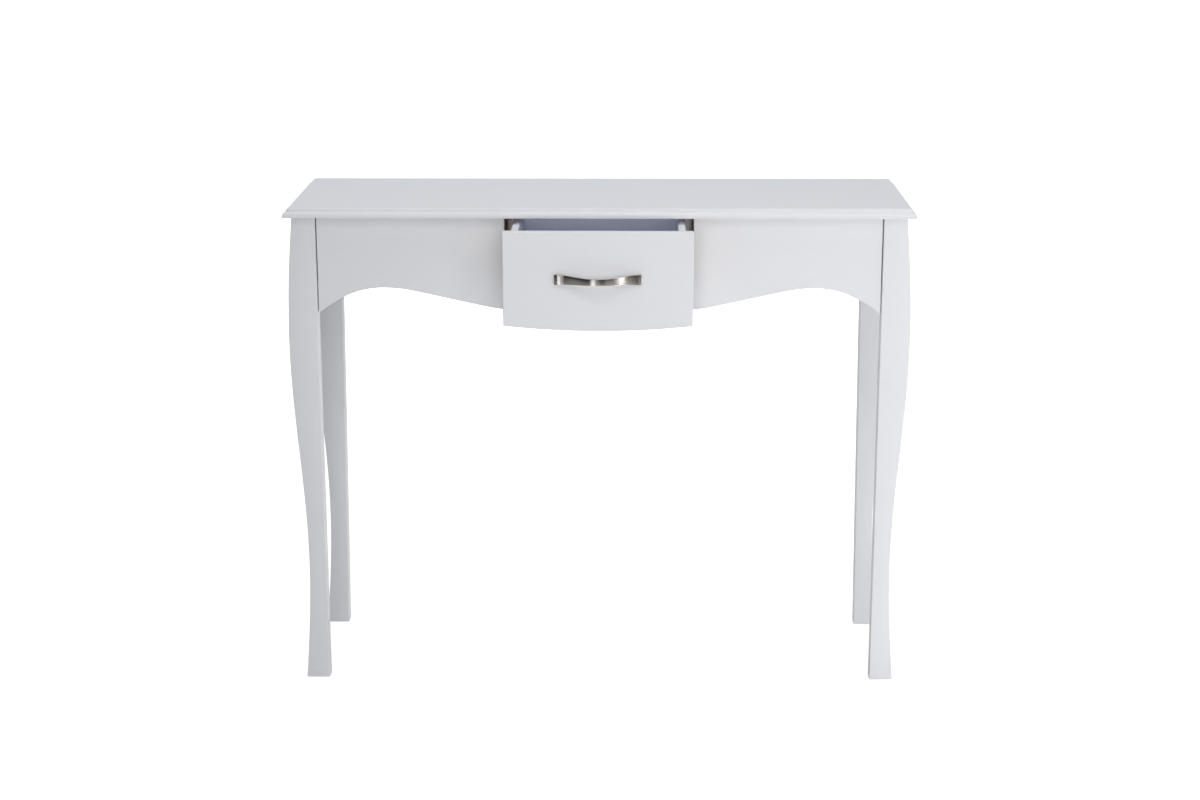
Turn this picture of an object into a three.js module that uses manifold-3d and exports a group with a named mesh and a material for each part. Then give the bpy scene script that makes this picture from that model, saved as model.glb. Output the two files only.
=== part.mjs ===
// Writing desk with one drawer on roller runners.
// Millimetres, +X right, +Y towards the wall side, +Z up, standing on Z = 0.
// Run with the npm packages three and manifold-3d; the default export is the whole desk.

import * as THREE from 'three';
import { mergeVertices } from 'three/addons/utils/BufferGeometryUtils.js';
import Module from 'manifold-3d';

const wasm = await Module();
wasm.setup();

// ---------------------------------------------------------------- driving dimensions

// whole desk
const deskWidth = 1000;
const deskHeight = 795;
const topDepth = 310;

// table top: flat board, moulded on the front and both ends, square at the wall
const topThickness = 15;
const topPlanRadius = 1.5;        // rounding of the front corners, seen from above
const mouldingInset = 11.2;       // how far the flat top stops short of the moulded edge
const beadDrop = 4.4;             // height of the small step under the flat top
const beadRadius = 1.6;
const ledgeWidth = 1.8;           // flat ledge between the step and the big round
const roundDrop = 5.8;            // height of the big round
const bottomEase = 0.6;

// legs: flat boards with a waved outer edge
const legThickness = 25;
const legSetback = 13;            // front face of a leg behind the front edge of the top
const kneeSetback = 2;            // knee of a leg inside the end of the top
const legTopWidth = 37;
const kneeWidth = 48;
const kneeDrop = 195;             // from the top of the leg down to its widest point
const ankleWidth = 28;
const ankleHeight = 200;
const footWidth = 38.3;
const legEase = 1.8;

// glides under the legs
const glideHeight = 1.5;
const glideRadius = 7;
const glideStemRadius = 2.2;
const glideStemLength = 12;
const glideRim = 0.5;

// aprons
const apronThickness = 15;
const apronReveal = 3;            // front and back aprons behind the outer faces of the legs
const apronEase = 1.2;
const legJointGap = 1.6;          // open joint between a front or back apron and the leg
const apronDropAtLeg = 156.5;     // from the underside of the top to the lower edge
const apronDropAtCrest = 115.1;
const apronDropAtOpening = 150.1;
const crestFromLeg = 105;         // crest of the arch, measured in from the leg
const crestRound = 52;            // length of the rounding on the drawer side of the crest
const rampSlope = 0.22;           // straight run from the crest down to the drawer
const rampTailLength = 35;        // where the run flattens towards the drawer
const backApronHeight = 140;
const sideApronCrestDrop = 128;
const sideApronReveal = 3;        // side apron behind the outer edge of the leg's top

// corner blocks, their bolts, and the clips that hold the top
const blockLength = 55;
const blockDepth = 26;            // from the leg inwards
const blockHeight = 108;
const blockChamfer = 18;
const blockTopGap = 2;
const boltRadius = 3;
const boltHeadRadius = 5.5;
const boltHeadHeight = 4;
const boltRim = 0.6;
const boltBite = 12;              // how far the bolt reaches into the leg
const boltSocketRadius = 2.3;
const boltSocketDepth = 2.4;
const clipLeg = 20;
const clipWidth = 16;
const clipThickness = 1.5;
const clipFromMiddle = 300;       // clips on the front and back aprons

// drawer opening, guides and drawer
const openingWidth = 300;
const guideThickness = 15;
const guideHeight = 144;
const drawerFrontGap = 3;         // gap round the drawer front, at the sides and above
const drawerFrontThickness = 15;
const drawerBow = 8.1;            // how far the lower edge of the drawer front bows down
const drawerEndDrop = 0.4;        // ends of that edge below the aprons beside it
const drawerPull = 117;           // how far the drawer stands open at rest
const drawerSideThickness = 12;
const drawerSideClearance = 13.5; // between a guide and a drawer side, for the runner
const drawerSideDrop = 6;         // top of the drawer sides below the top of the front
const drawerSideHeight = 116;
const drawerBackDrop = 6;         // top of the drawer back below the top of the sides
const drawerSideRound = 3;        // rounding of the top edges of the drawer sides
const drawerDepth = 224;          // length of a drawer side
const drawerBottomThickness = 3;
const grooveAboveEdge = 10;
const grooveDepth = 6;
const seatGap = 0.3;              // clearance where a piece sits in a cut of another
const overshoot = 1;              // how far a cutting tool reaches past the face it starts from

// roller runners
const sheetThickness = 1.2;
const runnerFrontGap = 2;         // cabinet runner short of the front apron's back
const runnerBackGap = 6;          // cabinet runner short of the back apron
const drawerRunnerSetback = 6;    // drawer runner shorter than the drawer side
const rollerRadius = 8;
const rollerWidth = 6;
const rollerGap = 0.2;            // roller to the track it runs on
const rollerFromEnd = 10;
const rollerRim = 0.5;
const rollerBoreClearance = 0.1;
const pinRadius = 2.5;
const pinHeadRadius = 4;
const pinHeadThickness = 0.8;
const trackClearance = 0.8;       // between the drawer track and the runner's top lip
const lipClearance = 1;           // side play between the two runner sheets
const flangeWidth = 10;           // part of the drawer runner under the drawer side

// bow handle and its screws
const handleSpan = 120;           // screw to screw
const handleProjection = 28;
const handleFootWidth = 15.5;
const handleFootDepth = 8;
const handleFootHeight = 16.5;
const handleWaistHeight = 9.5;
const handleWaistThickness = 5.5;
const handleRound = 1.2;          // rounding along its arrises
const handleFlare = 1.5;          // how late the height grows from the waist to a foot
const handleSwell = 58;           // from the middle to where the face runs flat over a foot
const handleFullness = 1.3;       // over 1, the swell stays full in the middle and bends late
const handleEndRound = 2.5;       // how far the face falls back to an end
const handleFootWall = 0.6;       // slope of a foot's inner wall
const handleBelowMiddle = 1;      // below the middle of the opening's height
const screwRadius = 2;
const screwHeadRadius = 4;
const screwHeadHeight = 2.4;
const screwTipEase = 0.4;
const screwBite = 6;              // how far a screw reaches into the handle's foot

// fineness of the curves
const curveSegments = 10;
const bevelSegments = 2;
const roundSegments = 20;
const rollerSegments = 28;
const mouldingSteps = 7;
const cornerSteps = 3;
const legSteps = 40;
const handleSteps = 36;
const handleEndSteps = [1, 0.97, 0.88, 0.7, 0.4, 0];   // shares of the rounded end, from its tip

// ---------------------------------------------------------------- levels and planes

const topUnderside = deskHeight - topThickness;
const topFrontY = -topDepth / 2;
const topBackY = topDepth / 2;
const legInnerX = deskWidth / 2 - kneeSetback - kneeWidth;
const legFaceY = topDepth / 2 - legSetback;       // outer faces of the legs, front and back
const legBackY = legFaceY - legThickness;         // inner faces of the legs
const apronFaceY = legFaceY - apronReveal;        // outer faces of front and back aprons
const apronBackY = apronFaceY - apronThickness;   // inner faces of front and back aprons
const kneeHeight = topUnderside - kneeDrop;
const apronEndX = legInnerX - legJointGap;
const openingX = openingWidth / 2;
const sideApronOuterX = legInnerX + legTopWidth - sideApronReveal;
const sideApronInnerX = sideApronOuterX - apronThickness;
const boltX = (legInnerX + sideApronInnerX) / 2;
const boltHeight = topUnderside - blockTopGap - blockHeight / 2;

const drawerFrontX = openingX - drawerFrontGap;
const drawerTopZ = topUnderside - drawerFrontGap;
const drawerSideOuterX = openingX - drawerSideClearance;
const drawerSideInnerX = drawerSideOuterX - drawerSideThickness;
const drawerSideTopZ = drawerTopZ - drawerSideDrop;
const drawerSideBottomZ = drawerSideTopZ - drawerSideHeight;
const drawerFrontBackY = -apronFaceY + drawerFrontThickness;
const drawerEndY = drawerFrontBackY + drawerDepth;
const grooveZ = drawerSideBottomZ + grooveAboveEdge;
const grooveHeight = drawerBottomThickness + 2 * seatGap;
const handleZ = topUnderside - apronDropAtOpening / 2 - handleBelowMiddle;

const runnerStartY = -apronBackY + runnerFrontGap;
const runnerLength = 2 * apronBackY - runnerFrontGap - runnerBackGap;
const drawerRunnerStartY = drawerFrontBackY + seatGap;
const drawerRunnerLength = drawerDepth - drawerRunnerSetback;
const rollerTrackZ = drawerSideBottomZ;
const rollerCentreZ = rollerTrackZ + rollerGap + rollerRadius;
const drawerTrackZ = rollerCentreZ + rollerRadius + rollerGap;
const runnerTopZ = drawerTrackZ + sheetThickness + trackClearance + sheetThickness;
const drawerRunnerWebX = drawerSideOuterX + sheetThickness;
const runnerWebX = openingX - sheetThickness;
const rollerMiddleX = (drawerRunnerWebX + runnerWebX) / 2;

// ---------------------------------------------------------------- finishes

function finish(color, roughness, metalness = 0) {
  return () => new THREE.MeshStandardMaterial({ color, roughness, metalness });
}
const whitePaint = finish(0xeeeef0, 0.45);
const drawerFoil = finish(0xe6e7ea, 0.55);
const hardboard = finish(0xb9bcc6, 0.7);
const barePine = finish(0xd9bd8c, 0.8);
const zincSteel = finish(0xb8bcc0, 0.35, 1);
const whiteSteel = finish(0xe9e9e7, 0.4, 0.3);
const brushedNickel = finish(0x9a928a, 0.3, 1);
const whiteNylon = finish(0xf2f1ea, 0.5);
const glidePlastic = finish(0xdedcd6, 0.6);

// ---------------------------------------------------------------- shape tools

function solidOf(geometry) {
  const bare = geometry.clone();
  bare.deleteAttribute('normal');
  bare.deleteAttribute('uv');
  const merged = mergeVertices(bare, 1e-4);
  return new wasm.Manifold(new wasm.Mesh({
    numProp: 3,
    vertProperties: new Float32Array(merged.attributes.position.array),
    triVerts: new Uint32Array(merged.index.array),
  }));
}

function geometryOf(solid) {
  const mesh = solid.getMesh();
  const geometry = new THREE.BufferGeometry();
  geometry.setAttribute('position', new THREE.BufferAttribute(new Float32Array(mesh.vertProperties), 3));
  geometry.setIndex(new THREE.BufferAttribute(new Uint32Array(mesh.triVerts), 1));
  geometry.computeVertexNormals();
  return geometry;
}

function cut(geometry, ...tools) {
  const solid = tools.reduce((left, tool) => left.subtract(solidOf(tool)), solidOf(geometry));
  return geometryOf(solid);
}

// A closed skin over rings of equal point counts, capped flat at both ends.
function loft(rings) {
  const count = rings[0].length;
  const positions = rings.flat().flatMap((p) => [p.x, p.y, p.z]);
  const index = [];
  for (let ring = 0; ring + 1 < rings.length; ring += 1) {
    for (let i = 0; i < count; i += 1) {
      const a = ring * count + i;
      const b = ring * count + ((i + 1) % count);
      index.push(a, b, b + count, a, b + count, a + count);
    }
  }
  const last = (rings.length - 1) * count;
  for (let i = 1; i + 1 < count; i += 1) {
    index.push(0, i + 1, i);
    index.push(last, last + i, last + i + 1);
  }
  const geometry = new THREE.BufferGeometry();
  geometry.setAttribute('position', new THREE.Float32BufferAttribute(positions, 3));
  geometry.setIndex(index);
  geometry.computeVertexNormals();
  return geometry;
}

function polygon(points) {
  return new THREE.Shape(points.map(([x, y]) => new THREE.Vector2(x, y)));
}

// A board of the given outline, its edges eased, from local z = 0 to its thickness.
function board(outline, thickness, ease = 0) {
  const settings = { depth: thickness - 2 * ease, steps: 1, curveSegments, bevelEnabled: ease > 0 };
  if (ease > 0) {
    Object.assign(settings, { bevelThickness: ease, bevelSize: ease, bevelOffset: -ease, bevelSegments });
  }
  return new THREE.ExtrudeGeometry(outline, settings).translate(0, 0, ease);
}

// Outline in X and Z, thickness along Y from startY.
function alongY(geometry, thickness, startY) {
  return geometry.rotateX(Math.PI / 2).translate(0, startY + thickness, 0);
}

// Outline in Y and Z, thickness along X from startX.
function alongX(geometry, startX) {
  return geometry.rotateX(Math.PI / 2).rotateZ(Math.PI / 2).translate(startX, 0, 0);
}

function cylinder(radius, length) {
  return new THREE.CylinderGeometry(radius, radius, length, roundSegments);
}

function boxBetween(low, high) {
  const [sizeX, sizeY, sizeZ] = high.map((value, i) => value - low[i]);
  return new THREE.BoxGeometry(sizeX, sizeY, sizeZ)
    .translate(low[0] + sizeX / 2, low[1] + sizeY / 2, low[2] + sizeZ / 2);
}

function lathe(profile, segments = roundSegments) {
  return new THREE.LatheGeometry(profile.map(([r, h]) => new THREE.Vector2(r, h)), segments);
}

function piece(name, geometry, material) {
  const mesh = new THREE.Mesh(geometry, material());
  mesh.name = name;
  return mesh;
}

const sides = [['left', -1], ['right', 1]];
const rows = [['front', -1], ['back', 1]];

// ---------------------------------------------------------------- table top

// Moulded edge as [inset from the outermost line, height above the underside].
function mouldingProfile() {
  const stepInset = mouldingInset - beadRadius;
  const ledgeZ = topThickness - beadDrop;
  const roundInset = stepInset - ledgeWidth;
  const profile = [[bottomEase, 0], [0, bottomEase]];
  for (let i = 0; i <= mouldingSteps; i += 1) {
    const angle = (Math.PI / 2) * (i / mouldingSteps);
    profile.push([roundInset * (1 - Math.cos(angle)), ledgeZ - roundDrop * (1 - Math.sin(angle))]);
  }
  profile.push([stepInset, ledgeZ]);
  for (const angle of [0, 0.25, 0.5]) {
    const turn = Math.PI * angle;
    profile.push([
      mouldingInset - beadRadius * Math.cos(turn),
      topThickness - beadRadius * (1 - Math.sin(turn)),
    ]);
  }
  return profile;
}

// One level of the top: a rectangle pulled in on the front and ends, straight at the wall.
function topRing(inset, height) {
  const endX = deskWidth / 2 - inset;
  const frontY = topFrontY + inset;
  const radius = topPlanRadius;
  const ring = [new THREE.Vector3(endX, topBackY, height), new THREE.Vector3(-endX, topBackY, height)];
  for (const [cornerX, startAngle] of [[-endX + radius, Math.PI], [endX - radius, 1.5 * Math.PI]]) {
    for (let i = 0; i <= cornerSteps; i += 1) {
      const angle = startAngle + (Math.PI / 2) * (i / cornerSteps);
      ring.push(new THREE.Vector3(
        cornerX + radius * Math.cos(angle),
        frontY + radius + radius * Math.sin(angle),
        height,
      ));
    }
  }
  return ring;
}

function tableTop() {
  return loft(mouldingProfile().map(([inset, height]) => topRing(inset, topUnderside + height)));
}

// ---------------------------------------------------------------- legs

// Width of a leg at a height: quarter wave to the knee, half wave to the ankle, quarter wave to the foot.
function legWidth(height) {
  if (height > kneeHeight) {
    const share = (height - kneeHeight) / kneeDrop;
    return kneeWidth - (kneeWidth - legTopWidth) * (1 - Math.cos((Math.PI / 2) * share));
  }
  if (height > ankleHeight) {
    const share = (kneeHeight - height) / (kneeHeight - ankleHeight);
    return ankleWidth + ((kneeWidth - ankleWidth) * (1 + Math.cos(Math.PI * share))) / 2;
  }
  const share = (ankleHeight - height) / ankleHeight;
  return ankleWidth + (footWidth - ankleWidth) * (1 - Math.cos((Math.PI / 2) * share));
}

function legOutline(side) {
  const points = [[side * legInnerX, topUnderside], [side * legInnerX, glideHeight]];
  for (let i = 0; i <= legSteps; i += 1) {
    const height = glideHeight + ((topUnderside - glideHeight) * i) / legSteps;
    points.push([side * (legInnerX + legWidth(height)), height]);
  }
  return polygon(points);
}

function glideX(side) {
  return side * (legInnerX + footWidth / 2);
}

function glideY(row) {
  return row * (legFaceY - legThickness / 2);
}

function leg(side, row) {
  const startY = row < 0 ? -legFaceY : legBackY;
  const blank = alongY(board(legOutline(side), legThickness, legEase), legThickness, startY);
  const boltHole = cylinder(boltRadius + seatGap, 2 * (boltBite + seatGap))
    .translate(side * boltX, row * legBackY, boltHeight);
  const stemHole = cylinder(glideStemRadius + seatGap, 2 * (glideStemLength + seatGap))
    .rotateX(Math.PI / 2).translate(glideX(side), glideY(row), glideHeight);
  return cut(blank, boltHole, stemHole);
}

function glide(side, row) {
  const tip = glideHeight + glideStemLength;
  const profile = [
    [0, 0], [glideRadius - glideRim, 0], [glideRadius, glideRim], [glideRadius, glideHeight],
    [glideStemRadius, glideHeight], [glideStemRadius, tip - glideRim], [glideStemRadius - glideRim, tip],
    [0, tip],
  ];
  return lathe(profile).rotateX(Math.PI / 2).translate(glideX(side), glideY(row), 0);
}

// ---------------------------------------------------------------- aprons

// Lower edge from the leg: round up to the crest, down a straight run, and flat into the drawer.
function frontApronOutline(side) {
  const below = (drop) => topUnderside - drop;
  const crestX = legInnerX - crestFromLeg;
  const rampTopX = crestX - crestRound;
  const rampTopZ = below(apronDropAtCrest) - (rampSlope * crestRound) / 2;
  const tailX = openingX + rampTailLength;
  const tailZ = rampTopZ - rampSlope * (rampTopX - tailX);
  const tailSlope = 2 * (tailZ - below(apronDropAtOpening)) / rampTailLength - rampSlope;
  const bendX = openingX + rampTailLength / 2;
  const outline = new THREE.Shape();
  outline.moveTo(side * openingX, topUnderside);
  outline.lineTo(side * openingX, below(apronDropAtOpening));
  outline.quadraticCurveTo(side * bendX, below(apronDropAtOpening) + (tailSlope * rampTailLength) / 2,
    side * tailX, tailZ);
  outline.lineTo(side * rampTopX, rampTopZ);
  outline.quadraticCurveTo(side * (crestX - crestRound / 2), below(apronDropAtCrest),
    side * crestX, below(apronDropAtCrest));
  outline.quadraticCurveTo(side * (crestX + crestFromLeg / 2), below(apronDropAtCrest),
    side * apronEndX, below(apronDropAtLeg));
  outline.lineTo(side * apronEndX, topUnderside);
  return outline;
}

function frontApron(side) {
  return alongY(board(frontApronOutline(side), apronThickness, apronEase), apronThickness, -apronFaceY);
}

function backApron() {
  const bottom = topUnderside - backApronHeight;
  const outline = polygon([
    [-apronEndX, bottom], [apronEndX, bottom], [apronEndX, topUnderside], [-apronEndX, topUnderside],
  ]);
  return alongY(board(outline, apronThickness, apronEase), apronThickness, apronBackY);
}

function sideApron(side) {
  const endZ = topUnderside - apronDropAtLeg;
  const crestZ = topUnderside - sideApronCrestDrop;
  const outline = new THREE.Shape();
  outline.moveTo(-legBackY, topUnderside);
  outline.lineTo(-legBackY, endZ);
  outline.quadraticCurveTo(-legBackY / 2, crestZ, 0, crestZ);
  outline.quadraticCurveTo(legBackY / 2, crestZ, legBackY, endZ);
  outline.lineTo(legBackY, topUnderside);
  const startX = side < 0 ? -sideApronOuterX : sideApronInnerX;
  return alongX(board(outline, apronThickness, apronEase), startX);
}

// ---------------------------------------------------------------- corner blocks, bolts and clips

// Block in the corner behind a leg, stepped to lie against the leg and the apron beside it.
function cornerBlock(side, row) {
  const outerX = side * sideApronInnerX;
  const stepX = side * apronEndX;
  const innerX = side * (sideApronInnerX - blockLength);
  const freeY = row * (legBackY - blockDepth);
  const outline = polygon([
    [outerX, row * legBackY], [stepX, row * legBackY], [stepX, row * apronBackY], [innerX, row * apronBackY],
    [innerX, freeY + row * blockChamfer], [innerX + side * blockChamfer, freeY], [outerX, freeY],
  ]);
  const block = board(outline, blockHeight)
    .translate(0, 0, topUnderside - blockTopGap - blockHeight);
  const boltHole = cylinder(boltRadius + seatGap, blockDepth + 2 * overshoot)
    .translate(side * boltX, row * (legBackY - blockDepth / 2), boltHeight);
  return cut(block, boltHole);
}

// Socket-head bolt, its head on the block's free face and its tip in the leg.
function legBolt(side, row) {
  const shank = blockDepth + boltBite;
  const profile = [
    [0, -shank], [boltRadius - boltRim, -shank], [boltRadius, boltRim - shank], [boltRadius, 0],
    [boltHeadRadius, 0], [boltHeadRadius, boltHeadHeight - boltRim],
    [boltHeadRadius - boltRim, boltHeadHeight],
    [boltSocketRadius, boltHeadHeight], [boltSocketRadius, boltHeadHeight - boltSocketDepth],
    [0, boltHeadHeight - boltSocketDepth],
  ];
  const bolt = lathe(profile);
  if (row > 0) bolt.rotateX(Math.PI);
  return bolt.translate(side * boltX, row * (legBackY - blockDepth), boltHeight);
}

// Steel angle under the top, width along local z; the corner sits at the origin.
function clipAngle() {
  const outline = polygon([
    [0, 0], [clipLeg, 0], [clipLeg, -clipThickness], [clipThickness, -clipThickness],
    [clipThickness, -clipLeg], [0, -clipLeg],
  ]);
  return board(outline, clipWidth).translate(0, 0, -clipWidth / 2).rotateX(Math.PI / 2);
}

function topClips() {
  const clips = [];
  for (const [rowName, row] of rows) {
    for (const [sideName, side] of sides) {
      const angle = clipAngle().rotateZ((-row * Math.PI) / 2);
      angle.translate(side * clipFromMiddle, row * apronBackY, topUnderside);
      clips.push(piece(`top_clip_${rowName}_${sideName}`, angle, zincSteel));
    }
  }
  for (const [sideName, side] of sides) {
    const angle = clipAngle().rotateZ(side > 0 ? Math.PI : 0);
    angle.translate(side * sideApronInnerX, 0, topUnderside);
    clips.push(piece(`top_clip_end_${sideName}`, angle, zincSteel));
  }
  return clips;
}

// ---------------------------------------------------------------- drawer guides and runners

function drawerGuide(side) {
  const low = side < 0 ? -openingX - guideThickness : openingX;
  return boxBetween(
    [low, -apronBackY, topUnderside - guideHeight],
    [low + guideThickness, apronBackY, topUnderside],
  );
}

// Channel screwed to the guide, open towards the drawer.
function cabinetRunner(side) {
  const lipX = drawerRunnerWebX + lipClearance;
  const bottomZ = rollerTrackZ - sheetThickness;
  const section = polygon([
    [side * openingX, bottomZ], [side * openingX, runnerTopZ], [side * lipX, runnerTopZ],
    [side * lipX, runnerTopZ - sheetThickness], [side * runnerWebX, runnerTopZ - sheetThickness],
    [side * runnerWebX, rollerTrackZ], [side * lipX, rollerTrackZ], [side * lipX, bottomZ],
  ]);
  return alongY(board(section, runnerLength), runnerLength, runnerStartY);
}

// Sheet under and beside the drawer side, with the track that rides on the front roller.
function drawerRunner(side) {
  const flangeX = drawerSideOuterX - flangeWidth;
  const lipX = runnerWebX - lipClearance;
  const section = polygon([
    [side * flangeX, drawerSideBottomZ - sheetThickness],
    [side * drawerRunnerWebX, drawerSideBottomZ - sheetThickness],
    [side * drawerRunnerWebX, drawerTrackZ], [side * lipX, drawerTrackZ],
    [side * lipX, drawerTrackZ + sheetThickness], [side * drawerSideOuterX, drawerTrackZ + sheetThickness],
    [side * drawerSideOuterX, drawerSideBottomZ], [side * flangeX, drawerSideBottomZ],
  ]);
  return alongY(board(section, drawerRunnerLength), drawerRunnerLength, drawerRunnerStartY);
}

const frontRollerY = runnerStartY + rollerFromEnd;
const rearRollerY = drawerRunnerStartY + drawerRunnerLength - rollerFromEnd;

function roller(side, y) {
  const bore = pinRadius + rollerBoreClearance;
  const half = rollerWidth / 2;
  const profile = [
    [bore, -half], [rollerRadius - rollerRim, -half], [rollerRadius, rollerRim - half],
    [rollerRadius, half - rollerRim], [rollerRadius - rollerRim, half], [bore, half], [bore, -half],
  ];
  return lathe(profile, rollerSegments)
    .rotateZ(Math.PI / 2).translate(side * rollerMiddleX, y, rollerCentreZ);
}

// Pin that stands on a web at fromX and ends in a head just past the roller.
function rollerPin(side, fromX, y) {
  const reach = Math.abs(rollerMiddleX - fromX) + rollerWidth / 2 + seatGap;
  const profile = [
    [0, 0], [pinRadius, 0], [pinRadius, reach], [pinHeadRadius, reach],
    [pinHeadRadius, reach + pinHeadThickness], [0, reach + pinHeadThickness],
  ];
  const towards = Math.sign(rollerMiddleX - fromX) * side;
  return lathe(profile).rotateZ((-towards * Math.PI) / 2).translate(side * fromX, y, rollerCentreZ);
}

// ---------------------------------------------------------------- drawer

function drawerFront() {
  const cornerZ = topUnderside - apronDropAtOpening - drawerEndDrop;
  const outline = new THREE.Shape();
  outline.moveTo(-drawerFrontX, drawerTopZ);
  outline.lineTo(-drawerFrontX, cornerZ);
  outline.quadraticCurveTo(0, cornerZ - 2 * drawerBow, drawerFrontX, cornerZ);
  outline.lineTo(drawerFrontX, drawerTopZ);
  const blank = alongY(board(outline, drawerFrontThickness, apronEase), drawerFrontThickness, -apronFaceY);
  const grooveX = drawerSideInnerX + grooveDepth;
  const groove = boxBetween(
    [-grooveX, drawerFrontBackY - grooveDepth, grooveZ],
    [grooveX, drawerFrontBackY + overshoot, grooveZ + grooveHeight],
  );
  const holeLength = drawerFrontThickness + 2 * overshoot;
  const holes = sides.map(([, side]) => cylinder(screwRadius + seatGap, holeLength)
    .translate((side * handleSpan) / 2, drawerFrontBackY - drawerFrontThickness / 2, handleZ));
  return cut(blank, groove, ...holes);
}

// Section of a drawer side: rounded top edge, groove for the bottom on the inner face.
function drawerSide(side) {
  const outer = side * drawerSideOuterX;
  const inner = side * drawerSideInnerX;
  const round = side * drawerSideRound;
  const section = new THREE.Shape();
  section.moveTo(outer, drawerSideBottomZ);
  section.lineTo(outer, drawerSideTopZ - drawerSideRound);
  section.quadraticCurveTo(outer, drawerSideTopZ, outer - round, drawerSideTopZ);
  section.lineTo(inner + round, drawerSideTopZ);
  section.quadraticCurveTo(inner, drawerSideTopZ, inner, drawerSideTopZ - drawerSideRound);
  section.lineTo(inner, grooveZ + grooveHeight);
  section.lineTo(inner + side * grooveDepth, grooveZ + grooveHeight);
  section.lineTo(inner + side * grooveDepth, grooveZ);
  section.lineTo(inner, grooveZ);
  section.lineTo(inner, drawerSideBottomZ);
  return alongY(board(section, drawerDepth), drawerDepth, drawerFrontBackY);
}

function drawerBack() {
  return boxBetween(
    [-drawerSideInnerX, drawerEndY - drawerSideThickness, grooveZ + grooveHeight],
    [drawerSideInnerX, drawerEndY, drawerSideTopZ - drawerBackDrop],
  );
}

function drawerBottom() {
  const halfWidth = drawerSideInnerX + grooveDepth - seatGap;
  return boxBetween(
    [-halfWidth, drawerFrontBackY - grooveDepth + seatGap, grooveZ + seatGap],
    [halfWidth, drawerEndY, grooveZ + seatGap + drawerBottomThickness],
  );
}

// ---------------------------------------------------------------- handle and its screws

// Bow that runs flat over its feet and swells to the middle in an S, high at the feet, open between.
function handle() {
  const end = (handleSpan + handleFootWidth) / 2;
  const footInner = (handleSpan - handleFootWidth) / 2;
  const face = (x) => {
    const turn = Math.PI * Math.min(Math.abs(x) / handleSwell, 1) ** handleFullness;
    const late = Math.max(0, Math.abs(x) - handleSwell) / (end - handleSwell);
    const fall = handleEndRound * (1 - Math.sqrt(1 - Math.min(late, 1) ** 2));
    return THREE.MathUtils.lerp(handleFootDepth, handleProjection, (1 + Math.cos(turn)) / 2) - fall;
  };
  const flare = (x) => (Math.abs(x) / end) ** handleFlare;
  const high = (x) => THREE.MathUtils.lerp(handleWaistHeight, handleFootHeight, flare(x));
  const back = (x, hollow) => (hollow ? face(x) - handleWaistThickness : 0);
  const ring = (x, hollow) => handleSection(x, back(x, hollow), face(x), high(x));
  const foot = (side) => handleEndSteps
    .map((share) => ring(side * (handleSwell + share * (end - handleSwell)), false))
    .concat([ring(side * footInner, false)]);
  const bow = [];
  const hollowX = footInner - handleFootWall;
  for (let i = 0; i <= handleSteps; i += 1) bow.push(ring(hollowX * ((2 * i) / handleSteps - 1), true));
  return loft([...foot(-1), ...bow, ...foot(1).reverse()]).translate(0, -apronFaceY, handleZ);
}

// Rounded rectangle across X, between two depths from the drawer's front.
function handleSection(x, near, far, high) {
  const middle = (near + far) / 2;
  const ring = [];
  for (const [sy, sz, start] of [[1, 1, 0], [-1, 1, 0.5], [-1, -1, 1], [1, -1, 1.5]]) {
    for (const step of [0, 0.25, 0.5]) {
      const angle = Math.PI * (start + step);
      const y = sy * ((far - near) / 2 - handleRound) + handleRound * Math.cos(angle);
      const z = sz * (high / 2 - handleRound) + handleRound * Math.sin(angle);
      ring.push(new THREE.Vector3(x, -middle + y, z));
    }
  }
  return ring;
}

function drilledHandle() {
  const holes = sides.map(([, side]) => cylinder(screwRadius + seatGap, 2 * (screwBite + seatGap))
    .translate((side * handleSpan) / 2, -apronFaceY, handleZ));
  return cut(handle(), ...holes);
}

// Pan-head screw from inside the drawer, through the front and into a foot of the handle.
function handleScrew(side) {
  const shank = drawerFrontThickness + screwBite;
  const profile = [
    [0, -shank], [screwRadius - screwTipEase, -shank], [screwRadius, screwTipEase - shank], [screwRadius, 0],
    [screwHeadRadius, 0], [screwHeadRadius, 0.4 * screwHeadHeight],
    [0.7 * screwHeadRadius, screwHeadHeight], [0, screwHeadHeight],
  ];
  return lathe(profile).translate((side * handleSpan) / 2, drawerFrontBackY, handleZ);
}

// ---------------------------------------------------------------- assembly

const frame = new THREE.Group();
frame.add(piece('table_top', tableTop(), whitePaint));
frame.add(piece('apron_back', backApron(), whitePaint));
for (const [sideName, side] of sides) {
  frame.add(piece(`apron_front_${sideName}`, frontApron(side), whitePaint));
  frame.add(piece(`apron_side_${sideName}`, sideApron(side), whitePaint));
  frame.add(piece(`drawer_guide_${sideName}`, drawerGuide(side), barePine));
  frame.add(piece(`cabinet_runner_${sideName}`, cabinetRunner(side), whiteSteel));
  frame.add(piece(`front_roller_pin_${sideName}`, rollerPin(side, runnerWebX, frontRollerY), zincSteel));
  frame.add(piece(`front_roller_${sideName}`, roller(side, frontRollerY), whiteNylon));
  for (const [rowName, row] of rows) {
    const corner = `${rowName}_${sideName}`;
    frame.add(piece(`leg_${corner}`, leg(side, row), whitePaint));
    frame.add(piece(`glide_${corner}`, glide(side, row), glidePlastic));
    frame.add(piece(`corner_block_${corner}`, cornerBlock(side, row), barePine));
    frame.add(piece(`leg_bolt_${corner}`, legBolt(side, row), zincSteel));
  }
}
frame.add(...topClips());

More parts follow.
